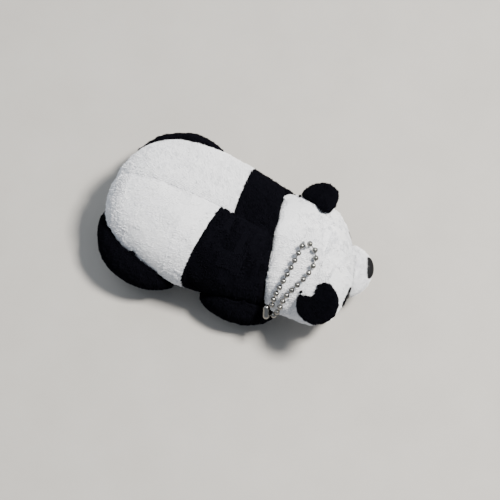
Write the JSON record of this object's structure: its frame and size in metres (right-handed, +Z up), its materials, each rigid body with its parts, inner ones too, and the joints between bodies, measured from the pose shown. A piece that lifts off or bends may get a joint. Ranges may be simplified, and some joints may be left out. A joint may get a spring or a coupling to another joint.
{
  "type": "plush keychain",
  "caption": "Small plush panda lying on its belly, sewn from white and black pile fabric, with a ball chain on a thread loop at the top of its head.",
  "frame": {"origin": "centre of the flat belly face that the panda lies on", "axes": "+X runs along the spine towards the head, +Y is the panda's left, +Z is up from the belly"},
  "size_m": [0.1186, 0.0744, 0.0483],
  "materials": {
    "white_pile": "short pile",
    "black_pile": "short pile",
    "stuffing": "fibre fill",
    "nose_cloth": "satin stitch",
    "black_thread": "thread",
    "white_thread": "twisted thread",
    "eye_plastic": "polished",
    "washer_plastic": "moulded",
    "chain_metal": "nickel plated"
  },
  "bodies": {
    "plush": {"back_panel_left": "white_pile", "back_panel_right": "white_pile", "belly_panel": "white_pile", "head_back_left": "white_pile", "head_back_right": "white_pile", "face_panel": "white_pile", "chin_panel": "white_pile", "muzzle_cover": "white_pile", "shoulder_band_left": "black_pile", "shoulder_band_right": "black_pile", "chest_panel": "black_pile", "eye_patch_left": "black_pile", "eye_patch_right": "black_pile", "ear_front_left": "black_pile", "ear_back_left": "black_pile", "ear_front_right": "black_pile", "ear_back_right": "black_pile", "hind_leg_left_cover": "black_pile", "hind_leg_left_sole": "black_pile", "hind_leg_right_cover": "black_pile", "hind_leg_right_sole": "black_pile", "front_leg_left_cover": "black_pile", "front_leg_left_sole": "black_pile", "front_leg_right_cover": "black_pile", "front_leg_right_sole": "black_pile", "body_stuffing": "stuffing", "head_stuffing": "stuffing", "muzzle_stuffing": "stuffing", "hind_leg_left_stuffing": "stuffing", "hind_leg_right_stuffing": "stuffing", "front_leg_left_stuffing": "stuffing", "front_leg_right_stuffing": "stuffing", "nose": "nose_cloth", "mouth_stitch": "black_thread", "eye_left": "eye_plastic", "eye_right": "eye_plastic", "eye_washer_left": "washer_plastic", "eye_washer_right": "washer_plastic", "loop_tails": "white_thread"},
    "loop": {"hanging_loop": "white_thread"},
    "chain_1": {"chain_row_1": "chain_metal"},
    "chain_2": {"chain_row_2": "chain_metal"},
    "chain_3": {"chain_row_3": "chain_metal"},
    "chain_4": {"chain_row_4": "chain_metal"},
    "chain_5": {"chain_row_5": "chain_metal"},
    "chain_6": {"chain_row_6": "chain_metal"},
    "chain_7": {"chain_row_7": "chain_metal", "clasp": "chain_metal"}
  },
  "joints": [
    {"name": "loop_tilt", "type": "hinge", "parent": "plush", "child": "loop", "pos_m": [0.0499, 0.00095, 0.04535], "axis": [-0.7487, -0.6623, -0.0288], "range_deg": [0, 60]},
    {"name": "chain_swing", "type": "hinge", "parent": "loop", "child": "chain_1", "pos_m": [0.0515, -0.00085, 0.04695], "axis": [-0.7487, -0.6623, -0.0288], "range_deg": [0, 30]},
    {"name": "chain_bend_1", "type": "hinge", "parent": "chain_1", "child": "chain_2", "pos_m": [0.05393, -0.00478, 0.0463], "axis": [-0.9894, -0.1391, -0.0409], "range_deg": [0, 15]},
    {"name": "chain_bend_2", "type": "hinge", "parent": "chain_2", "child": "chain_3", "pos_m": [0.05407, -0.0081, 0.04545], "axis": [-0.9899, -0.1029, -0.0974], "range_deg": [0, 15]},
    {"name": "chain_bend_3", "type": "hinge", "parent": "chain_3", "child": "chain_4", "pos_m": [0.05322, -0.01287, 0.04363], "axis": [-0.9376, 0.3476, 0.0027], "range_deg": [0, 15]},
    {"name": "chain_bend_4", "type": "hinge", "parent": "chain_4", "child": "chain_5", "pos_m": [0.05236, -0.01568, 0.0419], "axis": [-0.9263, 0.3766, 0.0057], "range_deg": [0, 15]},
    {"name": "chain_bend_5", "type": "hinge", "parent": "chain_5", "child": "chain_6", "pos_m": [0.05136, -0.01819, 0.0398], "axis": [-0.9191, 0.3931, 0.0262], "range_deg": [0, 15]},
    {"name": "chain_bend_6", "type": "hinge", "parent": "chain_6", "child": "chain_7", "pos_m": [0.05019, -0.02151, 0.03608], "axis": [-0.8943, -0.0532, -0.4442], "range_deg": [0, 15]}
  ]
}
